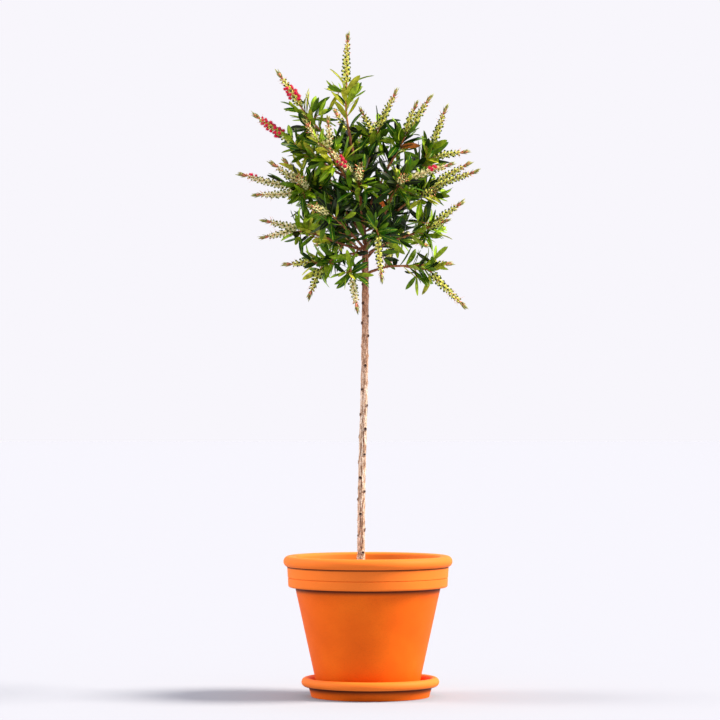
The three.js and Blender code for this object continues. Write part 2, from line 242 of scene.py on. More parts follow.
# ---- Pot ----
# The pot is the same clay: a plain taper under a deep collar with one scored line, and a heavy
# rolled rim.  A drain hole goes through its floor, which rests on the saucer.
low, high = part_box("pot")
pot_top = high.z
pot_across = (low.x + high.x) / 2  # it stands a little to the left of the saucer's middle
rim_radius = (high.x - low.x) / 2
rim_roll = 10.5 * MM
rim_middle = (rim_radius - rim_roll, pot_top - rim_roll)
collar_top = rim_radius - 7 * MM
collar_foot = collar_top - 2 * MM
body_top = 136 * MM
body_foot = 93 * MM
body_top_height = 204 * MM
collar_height = 209 * MM
groove = 222 * MM
floor_top = low.z + 15 * MM
inner_rim = 134 * MM
taper = (body_top - body_foot) / (body_top_height - low.z)
inner_floor = inner_rim - (pot_top - 5 * MM - floor_top) * taper
inner_corner = 5 * MM
drain = 11 * MM
drain_edge = 1.5 * MM
wall_steps = 8
wall = [share / wall_steps for share in range(1, wall_steps)]

pot = turned(
    "clay_pot",
    [(drain, floor_top - 2 * MM), (drain, low.z + drain_edge), (drain + drain_edge, low.z)]
    + [(body_foot - 3 * MM, low.z)]
    + arc((body_foot - 2 * MM, low.z + 2 * MM), 2 * MM, -90, -8, 4)
    + [(body_foot + (body_top - body_foot) * up, low.z + (body_top_height - low.z) * up) for up in wall]
    + [(body_top - 0.5 * MM, body_top_height - 2.5 * MM), (body_top + 0.6 * MM, body_top_height - 0.4 * MM)]
    + [(body_top + 2.5 * MM, body_top_height)]
    + arc((collar_foot - 4 * MM, collar_height - 0.5 * MM), 4 * MM, -80, 0, 5)
    + [(collar_foot + 0.6 * MM, groove - 1.1 * MM), (collar_foot + 0.1 * MM, groove - 0.6 * MM)]
    + [(collar_foot - 0.8 * MM, groove), (collar_foot + 0.3 * MM, groove + 0.6 * MM)]
    + [(collar_foot + 0.9 * MM, groove + 1.1 * MM), (collar_top - 0.2 * MM, groove + 17 * MM)]
    + [(collar_top - 0.1 * MM, rim_middle[1] - rim_roll * 0.93)]
    + arc(rim_middle, rim_roll, -60, 90, 18)
    + [(inner_rim + 8 * MM, pot_top - 0.5 * MM)]
    + arc((inner_rim + 5 * MM, pot_top - 6 * MM), 5 * MM, 75, 180, 6)
    + [(inner_rim - 50 * MM * taper, pot_top - 56 * MM), (inner_floor + 6 * MM * taper, floor_top + 6 * MM)]
    + arc((inner_floor - inner_corner, floor_top + inner_corner), inner_corner, 0, -90, 4)
    + [(drain + drain_edge, floor_top), (drain, floor_top - drain_edge)],
)
# The drain hole stays open: its two round lids go, and its walls are joined.
bpy.ops.object.mode_set(mode="EDIT")
bpy.ops.mesh.select_all(action="DESELECT")
leave_edit()
for face in pot.data.polygons:
    face.select = len(face.vertices) == CLAY_STEPS
bpy.ops.object.mode_set(mode="EDIT")
bpy.ops.mesh.delete(type="ONLY_FACE")
bpy.ops.mesh.select_all(action="SELECT")
bpy.ops.mesh.remove_doubles(threshold=0.6 * MM)
bpy.ops.mesh.normals_make_consistent(inside=False)
bpy.ops.transform.translate(value=(pot_across, 0, 0))
leave_edit()
# The painted shade under the collar and under the rim roll: (height, depth, reach).
under_collar = (body_top_height, 11 * MM, body_top - 6 * MM)
under_rim = (rim_middle[1] - rim_roll * 0.9, 4 * MM, collar_foot - 4 * MM)
pot.data.materials.append(
    terracotta("terracotta_fired_pot", body_top_height, [under_collar, under_rim], pot_across)
)
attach(pot, "root")
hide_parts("pot")


# ---- Compost ----
# The pot is filled to a few centimetres below its rim with moist peat and bark compost: a dark
# crumbly body with an uneven top, and loose chips of composted bark lying on it.
low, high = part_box("soil")
soil_top = high.z
soil_radius = (high.x - low.x) / 2
LUMP = 2.2 * MM
DOME = 2 * MM  # the fall of the top from its middle to the wall
rings = 30
compost = turned(
    "compost_body",
    [(10 * MM, low.z), (inner_floor - 8 * MM, low.z), (inner_floor - 2 * MM, low.z + 7 * MM)]
    + [(soil_radius - 0.2 * MM, soil_top - 5 * MM)]
    + [(soil_radius * k / rings, soil_top - DOME * (k / rings) ** 2) for k in range(rings - 1, 2, -1)],
)
for vertex in compost.data.vertices:
    place = vertex.co
    if place.z > soil_top - 3 * MM:
        coarse = noise.noise(place / (14 * MM))
        fine = noise.noise(place / (3.5 * MM))
        vertex.co.z += LUMP * (0.8 * coarse + 0.7 * fine - 0.9)
    vertex.co.x += pot_across


CHIP_ROUGHNESS = 400  # uneven spots in a metre
noise.seed_set(11)  # noise_vector would otherwise draw its offsets from the clock


def rough_chip(name, size):
    """One chip of bark: a cube drawn out flat, cut finer, and its corners knocked out of true."""
    chip = start_piece(name, bpy.ops.mesh.primitive_cube_add, size=1)
    edit_all()
    bpy.ops.transform.resize(value=size)
    bpy.ops.mesh.subdivide(number_cuts=1)
    leave_edit()
    for corner in chip.data.vertices:
        corner.co += 0.22 * min(size) * noise.noise_vector(corner.co * CHIP_ROUGHNESS)
    return chip


def mesh_piece(name, corners, faces, slots, mats):
    """A smooth piece of given corners and faces; slots says which material each face takes."""
    mesh = bpy.data.meshes.new(name)
    mesh.from_pydata(corners, [], faces)
    mesh.polygons.foreach_set("material_index", slots)
    mesh.polygons.foreach_set("use_smooth", [True] * len(faces))
    mesh.update()
    piece = bpy.data.objects.new(name, mesh)
    bpy.context.scene.collection.objects.link(piece)
    for mat in mats:
        mesh.materials.append(mat)
    return piece


def join_copies(name, templates, places, mats):
    """One piece of many copies: places holds (template number, 4x4 matrix) for each copy."""
    parts = []
    for template in templates:
        data = template.data
        corners = np.array([v.co[:] + (1.0,) for v in data.vertices])
        shape = [tuple(p.vertices) for p in data.polygons]
        parts.append((corners, shape, [p.material_index for p in data.polygons]))
    verts, faces, slots, first = [], [], [], 0
    for number, matrix in places:
        corners, shape, own_slots = parts[number]
        verts.append(corners @ np.array(matrix).T)
        faces.extend([tuple(first + i for i in face) for face in shape])
        slots.extend(own_slots)
        first += len(corners)
    return mesh_piece(name, np.concatenate(verts)[:, :3].tolist(), faces, slots, mats)


def discard(templates):
    for template in templates:
        bpy.data.objects.remove(template)


def plant_litter(name, grain, detail, stops, roughness, relief=0):
    """Rotting plant matter, its tone broken up at the size of its grain, which may be in relief."""
    made, tree, shader, place = material(name)
    crumbs = node(
        tree, "TexNoise", inputs={"Scale": 1 / grain, "Detail": detail, "Roughness": 0.7},
        links={"Vector": place},
    )
    tone = node(tree, "ValToRGB", links={"Fac": crumbs}, stops=stops)
    node(tree, shader, inputs={"Roughness": roughness}, links={"Base Color": tone})
    if relief:
        bump = node(tree, "Bump", inputs={"Strength": 0.8, "Distance": relief}, links={"Height": crumbs})
        node(tree, shader, links={"Normal": bump})
    return made


# Moist peat and fine bark: nearly black brown, crumbly and without any shine.
peat_tones = [(0.35, "#1d140e"), (0.55, "#35261a"), (0.72, "#5b4330")]
peat = plant_litter("peat_compost_moist", 4 * MM, 4, peat_tones, 0.95, 1.2 * MM)
# Composted pine bark: brown chips with a fibrous grain, a little paler than the peat.
chip_tones = [(0.3, "#2b1b12"), (0.5, "#5a3b26"), (0.7, "#8a6242")]
chipped_bark = plant_litter("pine_bark_chipped", 6 * MM, 5, chip_tones, 0.9)
compost.data.materials.append(peat)
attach(compost, "root")
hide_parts("soil")

CHIP_COUNT = 620
STEM_ROOM = 17 * MM  # no chip lies nearer than this to the middle of the stem
chance = random.Random(11)
chip_shapes = [
    rough_chip("chip_long", (13 * MM, 4.5 * MM, 2.2 * MM)),
    rough_chip("chip_square", (7 * MM, 6 * MM, 2.6 * MM)),
    rough_chip("chip_small", (4 * MM, 3 * MM, 2 * MM)),
]
stem_foot = Vector((sum(c.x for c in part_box("trunk")) / 2, 0, soil_top))
chip_places = []
while len(chip_places) < CHIP_COUNT:
    reach = soil_radius * 0.95 * sqrt(chance.random())
    turn = chance.uniform(0, 2 * pi)
    dip = 2.6 * MM * (reach / soil_radius) ** 2
    place = Vector((pot_across + reach * cos(turn), reach * sin(turn), soil_top - dip))
    shape = chance.choice((0, 1, 1, 2, 2, 2))
    if (place - stem_foot).length < STEM_ROOM:
        continue
    lean = Vector((chance.uniform(-1, 1), chance.uniform(-1, 1), 0))
    tilt = Quaternion(lean, radians(chance.uniform(0, 24)))
    spin = Quaternion((0, 0, 1), chance.uniform(0, 2 * pi))
    matrix = (tilt @ spin).to_matrix().to_4x4() * chance.uniform(0.7, 1.25)
    matrix.translation = place
    matrix[3][3] = 1
    chip_places.append((shape, matrix))
chips = join_copies("bark_chips", chip_shapes, chip_places, [chipped_bark])
discard(chip_shapes)
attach(chips, "root")


# ---- Trunk ----
# The trunk is one clean stem of about three years, its side shoots pruned off as it grew.  The
# bark is thin, pinkish tan and papery, split lengthwise, with a dark knot at each old cut.
def merged_copy(name, nodes):
    """A joined copy of CAD nodes, their loose triangles merged into closed skins."""
    deselect()
    for each in nodes:
        copy = bpy.data.objects.new(name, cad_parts[each].data.copy())
        copy.data.materials.clear()
        bpy.context.scene.collection.objects.link(copy)
        copy.select_set(True)
        bpy.context.view_layer.objects.active = copy
    if len(nodes) > 1:
        bpy.ops.object.join()
    joined = bpy.context.object
    joined.name = name
    edit_all()
    bpy.ops.mesh.remove_doubles(threshold=0.01 * MM)
    bpy.ops.mesh.tris_convert_to_quads()
    leave_edit()
    return joined


def pick(piece):
    """Makes a piece the only one selected, and the active one."""
    deselect()
    piece.select_set(True)
    bpy.context.view_layer.objects.active = piece


def skin(piece, swell, grain):
    """Rounds off the facets, swells the wood by a little and gives it an even fine skin."""
    for kind, settings in (
        ("SUBSURF", {"levels": 2, "render_levels": 2}),
        ("DISPLACE", {"strength": swell, "mid_level": 0}),
        ("REMESH", {"mode": "VOXEL", "voxel_size": grain}),
        ("SMOOTH", {"factor": 0.5, "iterations": 4}),
    ):
        pick(piece)
        made = piece.modifiers.new(kind, kind)
        for key, value in settings.items():
            setattr(made, key, value)
        bpy.ops.object.modifier_apply(modifier=made.name)
    piece.data.polygons.foreach_set("use_smooth", [True] * len(piece.data.polygons))


def relief(piece, depth, furrow, knots=()):
    """Raises the bark: long furrows along the wood, fine flakes, and a collar round each knot."""
    data = piece.data
    normals = [v.normal.copy() for v in data.vertices]
    shade = data.attributes.new("knot", "FLOAT", "POINT")
    dark = [0.0] * len(data.vertices)
    for vertex, normal in zip(data.vertices, normals):
        place = vertex.co
        long_way = Vector((place.x / furrow, place.y / furrow, place.z / (furrow * 7)))
        lift = depth * (noise.noise(long_way) + 0.5 * noise.noise(place / (furrow * 0.8)))
        for middle, size in knots:
            away = (place - middle).length / size
            if away < 1.6:
                collar = 0.45 * exp(-((away - 0.75) ** 2) / 0.06)
                hollow = 0.3 * exp(-(away**2) / 0.12)
                lift += size * (collar - hollow)
                dark[vertex.index] = max(dark[vertex.index], exp(-((away / 0.8) ** 4)))
        vertex.co += normal * lift
    shade.data.foreach_set("value", dark)


def bark(name, stops, furrow, roughness, weathering=None):
    """Thin bark: tone drawn out along the wood, papery flakes drawn coarse to show, dark knots.

    Weathering (height from, height to) is where pale old bark gives way to redder young bark.
    """
    made, tree, shader, place = material(name)
    drawn = node(tree, "Mapping", inputs={"Scale": (1, 1, 0.16)}, links={"Vector": place})
    streaks = node(
        tree, "TexNoise", inputs={"Scale": 1 / furrow, "Detail": 5, "Roughness": 0.65},
        links={"Vector": drawn},
    )
    tone = node(tree, "ValToRGB", links={"Fac": streaks}, stops=stops)
    flakes = node(tree, "TexNoise", inputs={"Scale": 1 / (1.3 * MM), "Detail": 2}, links={"Vector": place})
    stipple = node(
        tree, "ValToRGB", links={"Fac": flakes}, stops=[(0.38, "#7c4a34"), (0.5, "#ffffff"), (0.7, "#fff4e6")]
    )
    tone = node(tree, "Mix", TINT, {"Factor": 0.7}, {MIX_A: tone, MIX_B: stipple}).outputs[MIX_RESULT]
    if weathering:
        height = node(tree, "SeparateXYZ", links={"Vector": place}).outputs["Z"]
        age = node(
            tree, "MapRange", inputs={"From Min": weathering[0], "From Max": weathering[1]},
            links={"Value": height},
        )
        reddening = node(tree, "ValToRGB", links={"Fac": age}, stops=[(0, "#ffffff"), (1, "#d8966c")])
        tone = node(tree, "Mix", TINT, {"Factor": 1}, {MIX_A: tone, MIX_B: reddening}).outputs[MIX_RESULT]
    knot = node(tree, "Attribute", {"attribute_name": "knot"}).outputs["Fac"]
    tone = node(
        tree, "Mix", COVER, {MIX_B: linear("#2a0b05")}, {"Factor": knot, MIX_A: tone}
    ).outputs[MIX_RESULT]
    bump = node(tree, "Bump", inputs={"Strength": 0.6, "Distance": 0.5 * MM}, links={"Height": streaks})
    node(tree, shader, inputs={"Roughness": roughness}, links={"Base Color": tone, "Normal": bump})
    return made


trunk = merged_copy("trunk_bark", ["trunk"])
skin(trunk, 0.45 * MM, 0.9 * MM)
low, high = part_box("trunk")
trunk_corners = [v.co.copy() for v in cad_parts["trunk"].data.vertices]
CORNERS_NEAR = 60  # corners of the CAD stem that are averaged to find its middle
STEM_RADIUS = 7 * MM
GOLDEN = radians(137.5)  # the turn from one shoot, leaf or bud of a plant to the next


def stem_middle(height):
    """The middle of the stem at a height, between the rings of the CAD trunk."""
    near = sorted(trunk_corners, key=lambda c: abs(c.z - height))[:CORNERS_NEAR]
    return sum(near, Vector()) / len(near)


chance = random.Random(4)
knots = []
height = low.z + 22 * MM
turn = 0.6
while height < high.z - 30 * MM:
    middle = stem_middle(height)
    side = Vector((cos(turn), sin(turn), 0))
    centre = Vector((middle.x, middle.y, height)) + side * STEM_RADIUS
    knots.append((centre, chance.uniform(2.6, 3.9) * MM))
    height += chance.uniform(10, 19) * MM
    turn += GOLDEN + chance.uniform(-0.5, 0.5)
relief(trunk, 0.8 * MM, 3.0 * MM, knots)
trunk.data.materials.append(
    bark(
        "young_bark_papery",
        [(0.34, "#4c2a1a"), (0.42, "#9c785f"), (0.51, "#d2b69a"), (0.61, "#f4eade")],
        2.2 * MM,
        0.85,
        (0.5, 0.86),
    )
)
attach(trunk, "root")
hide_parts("trunk")


# ---- Leader and boughs ----
# The leader goes on from the top of the trunk, the boughs leave both, and one pruned stub stays
# under the fork.  Their bark is young: smooth, red-brown and a little shiny.
bough_names = sorted(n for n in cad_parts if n.startswith("bough_"))
limb_names = ["leader"] + bough_names + ["pruned_stub"]
boughs = merged_copy("bough_bark", limb_names)
skin(boughs, 0.25 * MM, 0.7 * MM)
relief(boughs, 0.16 * MM, 2.4 * MM)
boughs.data.materials.append(
    bark(
        "young_bark_smooth",
        [(0.3, "#4c200e"), (0.45, "#84441f"), (0.6, "#aa6a3e"), (0.78, "#c89868")],
        2.0 * MM,
        0.6,
    )
)
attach(boughs, "root")
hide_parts(*limb_names)


# ---- Growth of the head ----
# Each mass of the frame is one leafy shoot system.  A stem goes on from the tip of its bough to
# the first flower spike, twigs fan out to the other spikes, and short leafy side twigs fill the
# room between them.  All of it is laid out here and made in the sections that follow.
TUFT_ANGLE = atan2(5.5, 26)  # half the opening of the point that ends each shoot solid
TUFT = 24 * MM
SPIKE_SHARE = 0.82  # of a shoot's reach from the heart of its mass; the rest is leafy twig
HEAD_RADIUS = 170 * MM
LEAF_SPACING = 4.9 * MM
TWIG_ROOM = 46e-6  # cubic metres of a mass for each of its leafy side twigs
MAIN_STEM = (2.2 * MM, 1.5 * MM)  # foot radius and tip radius
SIDE_STEM = (1.6 * MM, 1.3 * MM)
THIN_TWIG = (1.2 * MM, 0.8 * MM)


def closed_copy(node_name):
    made = bmesh.new()
    made.from_mesh(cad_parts[node_name].data)
    bmesh.ops.remove_doubles(made, verts=made.verts, dist=0.005 * MM)
    return made


def shoot_points(solid):
    """The sharp points of a mass, one for each flower spike, with the way that each one looks."""
    found = []
    for vertex in solid.verts:
        arms = [(edge.other_vert(vertex).co - vertex.co).normalized() for edge in vertex.link_edges]
        heading = -sum(arms, Vector()).normalized()
        spread = [arm.angle(-heading) for arm in arms]
        if len(arms) >= 5 and 0.75 * TUFT_ANGLE < min(spread) and max(spread) < 1.1 * TUFT_ANGLE:
            found.append((vertex.co.copy(), heading))
    return sorted(found, key=lambda item: tuple(round(c, 4) for c in item[0]))


def nearest_meeting(lines, start):
    """The point nearest to all the lines (point, heading); one line takes the point near start."""
    if len(lines) == 1:
        point, heading = lines[0]
        return point + heading * (start - point).dot(heading)
    left = np.zeros((3, 3))
    right = np.zeros(3)
    for point, heading in lines:
        flat = np.eye(3) - np.outer(heading, heading)
        left += flat
        right += flat @ np.array(point)
    return Vector(np.linalg.solve(left, right))


def bough_end(node_name, towards):
    """The end of a limb's solid nearest to a point, and its heading there."""
    corners = [v.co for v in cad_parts[node_name].data.vertices]
    tip = min(corners, key=lambda c: (c - towards).length)
    ring = [c for c in corners if (c - tip).length < 6 * MM]
    end = sum(ring, Vector()) / len(ring)
    before = [c for c in corners if 9 * MM < (c - end).length < 34 * MM]
    back = sum(before, Vector()) / len(before)
    length = max((c - end).length for c in corners)
    return end, (end - back).normalized(), length


def middle_line(node_name, end, parts=6):
    """Points along the middle of a limb, from the wood that bears it to its end."""
    corners = [v.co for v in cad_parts[node_name].data.vertices]
    start = max(corners, key=lambda c: (c - end).length)
    run = end - start
    path = []
    for k in range(parts):
        near = [c for c in corners if k <= (c - start).dot(run) / run.length_squared * parts <= k + 1]
        if near:
            path.append(sum(near, Vector()) / len(near))
    return path + [end]


def bend(start, leave, end, arrive, steps=9):
    """A smooth twig from start to end that leaves and arrives along the given headings."""
    pull = (end - start).length * 0.4
    a, b = start + leave * pull, end - arrive * pull
    path = []
    for k in range(steps + 1):
        t = k / steps
        path.append(start * (1 - t) ** 3 + a * 3 * t * (1 - t) ** 2 + b * 3 * t**2 * (1 - t) + end * t**3)
    return path


def along(path, share):
    """The point and the heading at a share of a path's steps."""
    place = share * (len(path) - 1)
    k = min(int(place), len(path) - 2)
    step = path[k + 1] - path[k]
    return path[k] + step * (place - k), step.normalized()


def length_of(path):
    return sum((b - a).length for a, b in zip(path, path[1:]))


def way_at(rise, turn):
    """The heading with a given upward part, turned round the upright by an angle."""
    level = sqrt(1 - rise * rise)
    return Vector((level * cos(turn), level * sin(turn), rise))


def any_way(chance):
    rise = chance.uniform(-1, 1)
    return way_at(rise, chance.uniform(0, 2 * pi))


def sideways(onward, turn):
    """A heading square to another, turned round it by an angle."""
    side = onward.orthogonal().normalized()
    side.rotate(Quaternion(onward, turn))
    return side


fork_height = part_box("trunk")[1].z
crown_middle = Vector((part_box("trunk")[1].x, 0, fork_height + 95 * MM))
chance = random.Random(7)
twigs = []  # (path, foot radius, tip radius)
sprays = []  # (path, first share, leaf spacing, leaf size, tint, end tuft)
spikes = []  # (mass, path of the flower spike, point of its tuft)


def tint_of(place, chance):
    """Deep green inside the head, darkened to near black as painted shade; lighter, yellower greens towards
    its top and its edges.
    """
    out = (place - crown_middle).length / HEAD_RADIUS
    rise = (place.z - crown_middle.z) / HEAD_RADIUS
    lot = out + 0.1 * rise + chance.uniform(-0.4, 0.4)
    if lot < 0.45:
        return "deep_shaded"
    if lot < 0.9:
        return "mid"
    return "bright" if lot < 1.6 else "young"


for name in sorted(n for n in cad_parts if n.startswith("foliage_")):
    solid = closed_copy(name)
    shoots = shoot_points(solid)
    areas = [(face.calc_area(), face.calc_center_median()) for face in solid.faces]
    middle = sum((c * a for a, c in areas), Vector()) / sum(a for a, _ in areas)
    heart = nearest_meeting(shoots, middle)
    bearer = "leader" if name == "foliage_top" else name.replace("foliage_", "bough_")
    foot, leave, limb_length = bough_end(bearer, heart)
    skin_tree = BVHTree.FromBMesh(solid)
    stems = []

    # The limb itself bears leaves over its outer part, and short leafy twigs further in.
    limb = middle_line(bearer, foot)
    # Leaves inside the head take the darkest tint, which is painted shade.
    sprays.append((limb, 0.55, 13 * MM, 0.92, "deep_shaded", False))
    inner_twigs = 1 + int(limb_length > 60 * MM) - int(heart.z < fork_height)
    if bearer == "leader":
        inner_twigs = 6
    for k in range(inner_twigs):
        start, onward = along(limb, 0.12 + 0.55 * (k + chance.random()) / inner_twigs)
        way = (any_way(chance) + 0.5 * onward + Vector((0, 0, 0.45))).normalized()
        end = start + way * chance.uniform(24, 40) * MM
        path = bend(start, (onward + way).normalized(), end, way, 6)
        twigs.append((path, *THIN_TWIG))
        sprays.append((path, 0.2, 6 * MM, chance.uniform(0.85, 1.0), "deep_shaded", True))

    # Stems to the flower spikes; the one that goes on straightest from the bough is the main one.
    shoots.sort(key=lambda shoot: -shoot[1].dot(leave))
    for rank, (point, heading) in enumerate(shoots):
        reach = (point - heart).length
        spike_foot = point - heading * reach * SPIKE_SHARE
        if rank == 0:
            path = bend(foot - leave * 4 * MM, leave, spike_foot, heading)
            twigs.append((path, *MAIN_STEM))
        else:
            fork, onward = along(stems[0], 0.25 + 0.5 * (rank - 1) / max(1, len(shoots) - 1))
            path = bend(fork, (onward + heading).normalized(), spike_foot, heading)
            twigs.append((path, *SIDE_STEM))
        stems.append(path)
        tint = tint_of(spike_foot, chance)
        sprays.append((path, 0.12, LEAF_SPACING, 1.14 if bearer == "leader" else 1.0, tint, False))
        bow = sideways(heading, chance.uniform(0, 2 * pi)) * reach * 0.02
        base = point - heading * TUFT
        spike = [spike_foot.lerp(base, k / 8) + bow * sin(pi * k / 8) for k in range(9)]
        spikes.append((name[8:], spike, point))

    # Leafy side twigs, spread evenly round the heart and ending inside the mass.
    count = 3 if bearer == "leader" else max(4, round(solid.calc_volume() / TWIG_ROOM))
    start_turn = chance.uniform(0, 2 * pi)
    for k in range(count):
        way = way_at(1 - 2 * (k + 0.5) / count, start_turn + k * GOLDEN)
        way = (way + 0.25 * any_way(chance)).normalized()
        hit = skin_tree.ray_cast(heart, way)[0]
        room = (hit - heart).length if hit else 30 * MM
        if way.dot(-leave) > 0.85:
            continue
        length = min(max(room - 13 * MM, 12 * MM), 48 * MM)
        stem = chance.choice(stems)
        start, onward = along(stem, chance.uniform(0.25, 0.95))
        end = heart.lerp(start, 0.5) + way * length
        arrive = (way + Vector((0, 0, 0.35))).normalized()
        path = bend(start, (onward + way).normalized(), end, arrive, 6)
        twigs.append((path, *THIN_TWIG))
        sprays.append((path, 0.1, LEAF_SPACING, chance.uniform(0.82, 1.06), tint_of(end, chance), True))
    solid.free()


# ---- Twigs ----
# The twigs are this year's and last year's wood: thin, red-brown and slightly downy, tapering
# from the tips of the boughs to the feet of the flower spikes.
def tubes(name, runs, sides, mat):
    """One mesh of round tapering runs, each (path, foot radius, tip radius) with closed ends."""
    verts, faces = [], []
    for path, foot_radius, tip_radius in runs:
        first = len(verts)
        side = (path[1] - path[0]).orthogonal().normalized()
        for k, point in enumerate(path):
            onward = (path[min(k + 1, len(path) - 1)] - path[max(k - 1, 0)]).normalized()
            side = (side - onward * side.dot(onward)).normalized()
            across = onward.cross(side)
            radius = foot_radius + (tip_radius - foot_radius) * k / (len(path) - 1)
            for n in range(sides):
                turn = 2 * pi * n / sides
                verts.append(point + (side * cos(turn) + across * sin(turn)) * radius)
        for k in range(len(path) - 1):
            for n in range(sides):
                a, b = first + k * sides + n, first + k * sides + (n + 1) % sides
                faces.append((a, b, b + sides, a + sides))
        last = first + (len(path) - 1) * sides
        faces.append(tuple(first + n for n in reversed(range(sides))))
        faces.append(tuple(last + n for n in range(sides)))
    return mesh_piece(name, verts, faces, [0] * len(faces), [mat])


def young_wood(name, stops):
    """Thin twig bark, silky and a little uneven in tone along its length."""
    made, tree, shader, place = material(name)
    patches = node(tree, "TexNoise", inputs={"Scale": 1 / (9 * MM), "Detail": 3}, links={"Vector": place})
    tone = node(tree, "ValToRGB", links={"Fac": patches}, stops=stops)
    node(tree, shader, inputs={"Roughness": 0.55}, links={"Base Color": tone})
    return made


twig_wood = tubes(
    "twigs", twigs, 6,
    young_wood("twig_bark_silky", [(0.3, "#7a3818"), (0.5, "#a8602e"), (0.7, "#c8905a")]),
)
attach(twig_wood, "root")


# ---- Leaves ----
# The leaves are leathery lances, mostly 30 to 48 mm long, folded a little along a pale midrib, dark
# and half glossy above and paler below.  They stand alternately round every twig, pointing onwards.
LEAF_LENGTH = 45 * MM
LEAF_WIDTH = 12 * MM
LEAF_THICKNESS = 0.5 * MM
LEAF_ROWS = (0, 0.05, 0.18, 0.36, 0.56, 0.76, 0.91, 1)
TOP, UNDER, RIB = 0, 1, 2


def lance_leaf(name, length, width, fold, droop, twist):
    """A leaf blade along +Y with its upper face to +Z, as a thin lens of two skins."""
    rows = len(LEAF_ROWS) - 1
    leaf = start_piece(name, bpy.ops.mesh.primitive_grid_add, x_subdivisions=3, y_subdivisions=rows, size=2)
    for face in leaf.data.polygons:
        face.material_index = RIB if abs(face.center.x) < 0.3 else TOP
    edge = []
    for corner in leaf.data.vertices:
        column, row = corner.co.x, round((corner.co.y + 1) / 2 * rows)
        share = LEAF_ROWS[row]
        half = width / 2 * max(sin(pi * share**1.05) ** 0.62, 0.07 if row < rows else 0.01)
        rib = min(half * 0.5, 0.45 * MM)
        corner.co.x = copysign(half if abs(column) > 0.9 else rib, column)
        corner.co.y = share * length
        swing = twist * (share - 0.3)
        corner.co.z = fold * abs(corner.co.x) + swing * corner.co.x - droop * length * (share - 0.25) ** 2
        edge.append(abs(column) > 0.9 or row in (0, rows))
    edit_all()
    bpy.ops.mesh.duplicate()
    bpy.ops.mesh.flip_normals()
    leave_edit()
    for number, corner in enumerate(leaf.data.vertices):
        if number >= len(edge) and not edge[number - len(edge)]:
            corner.co.z -= LEAF_THICKNESS
    for number, face in enumerate(leaf.data.polygons):
        if number >= 3 * rows:
            face.material_index = UNDER
    edit_all()
    bpy.ops.mesh.remove_doubles(threshold=0.02 * MM)
    leave_edit()
    return leaf


def shaded(colour, share):
    """A hex colour made darker (share below 1) or lighter."""
    parts = [min(255, round(int(colour[i : i + 2], 16) * share)) for i in (1, 3, 5)]
    return "#" + "".join(f"{part:02x}" for part in parts)


def plant_skin(name, colour, roughness, patch, pits, gloss):
    """Living skin: tone and gloss a little uneven in patches, and fine pits or down in relief."""
    made, tree, shader, place = material(name)
    patches = node(
        tree, "TexNoise", inputs={"Scale": 1 / patch, "Detail": 3, "Roughness": 0.6}, links={"Vector": place}
    )
    tone = node(
        tree, "ValToRGB", links={"Fac": patches},
        stops=[(0.32, shaded(colour, 0.74)), (0.5, colour), (0.68, shaded(colour, 1.22))],
    )
    dull = node(
        tree, "MapRange",
        inputs={"From Min": 0.3, "From Max": 0.7, "To Min": roughness - 0.06, "To Max": roughness + 0.1},
        links={"Value": patches},
    )
    fine = node(tree, "TexNoise", inputs={"Scale": 1 / pits, "Detail": 1}, links={"Vector": place})
    bump = node(tree, "Bump", inputs={"Strength": 0.35, "Distance": 0.12 * MM}, links={"Height": fine})
    node(
        tree, shader, inputs={"Specular IOR Level": gloss},
        links={"Base Color": tone, "Roughness": dull, "Normal": bump},
    )
    return made


def leaf_skin(name, colour, roughness):
    """Leathery leaf: half glossy from a thin wax, mottled, its oil glands drawn coarse to show."""
    return plant_skin(name, colour, roughness, 11 * MM, 1.2 * MM, 0.18)


def pose(place, onward, up, size):
    """The matrix that lays a template's +Y along onward and its +Z towards up."""
    onward = onward.normalized()
    up = (up - onward * up.dot(onward)).normalized()
    across = onward.cross(up)
    return [
        [across.x * size, onward.x * size, up.x * size, place.x],
        [across.y * size, onward.y * size, up.y * size, place.y],
        [across.z * size, onward.z * size, up.z * size, place.z],
        [0, 0, 0, 1],
    ]


leaf_shapes = [
    lance_leaf("leaf_flat", LEAF_LENGTH, LEAF_WIDTH, 0.1, 0.08, 0),
    lance_leaf("leaf_drooping", LEAF_LENGTH * 1.04, LEAF_WIDTH, 0.16, 0.3, 0.2),
    lance_leaf("leaf_rising", LEAF_LENGTH * 0.95, LEAF_WIDTH * 0.94, 0.2, -0.2, -0.25),
    lance_leaf("leaf_narrow", LEAF_LENGTH * 0.95, LEAF_WIDTH * 0.82, 0.28, 0.15, 0.4),
]
LEAF_TINTS = {
    # tint: (upper side, underside, midrib, roughness of the upper side)
    # The darkest tint, near black, is painted shade for the leaves inside the head.
    "deep_shaded": ("#051500", "#1d3602", "#445a0c", 0.32),
    "mid": ("#285802", "#587a0e", "#98a82c", 0.28),
    "bright": ("#7aa20a", "#92aa24", "#c2c848", 0.3),
    "young": ("#acb41c", "#b6b838", "#d2cc5c", 0.4),
    "dry": ("#c05a16", "#c4702e", "#a05418", 0.6),
}
chance = random.Random(3)
leaf_places = {tint: [] for tint in LEAF_TINTS}
TINT_ORDER = ("deep_shaded", "mid", "bright", "young")
DRY_SHARE = 0.004  # of the leaves
UP = Vector((0, 0, 1))
CLEARANCE = 10 * MM  # the flower spikes stand clear of the leaves round them
rod_points = KDTree(sum(len(rod) - 1 for _, rod, _ in spikes))
for _, rod, _ in spikes:
    for point in rod[1:]:
        rod_points.insert(point, 0)
rod_points.balance()


